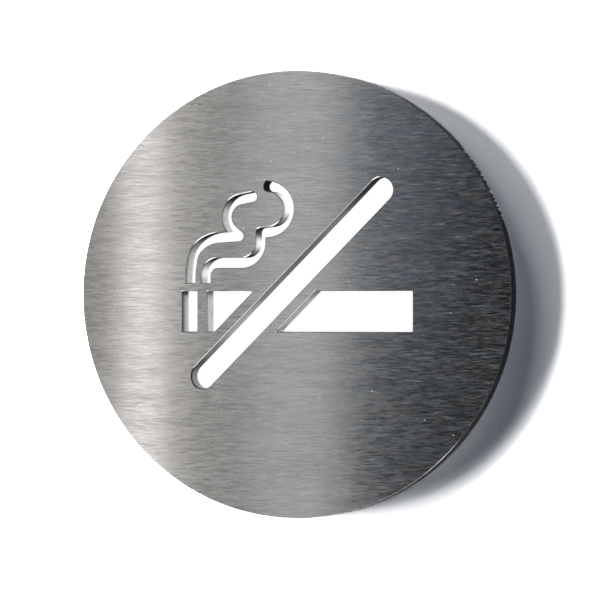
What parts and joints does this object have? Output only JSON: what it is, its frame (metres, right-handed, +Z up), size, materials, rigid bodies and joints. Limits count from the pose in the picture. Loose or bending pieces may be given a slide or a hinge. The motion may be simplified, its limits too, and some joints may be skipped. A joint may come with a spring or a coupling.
{
  "type": "no smoking sign",
  "caption": "Round flat wall plate of brushed steel with a no smoking pictogram cut through it: a cigarette with rising smoke and a diagonal bar.",
  "frame": {"origin": "centre of the plate's back face, which lies on the wall", "axes": "+X to the right seen from the front, +Y into the wall, +Z up as the plate hangs"},
  "size_m": [0.1, 0.005, 0.1],
  "materials": {
    "plate": "stainless steel, brushed with a straight level grain"
  },
  "bodies": {
    "root": {"sign_plate": "plate"}
  },
  "joints": []
}
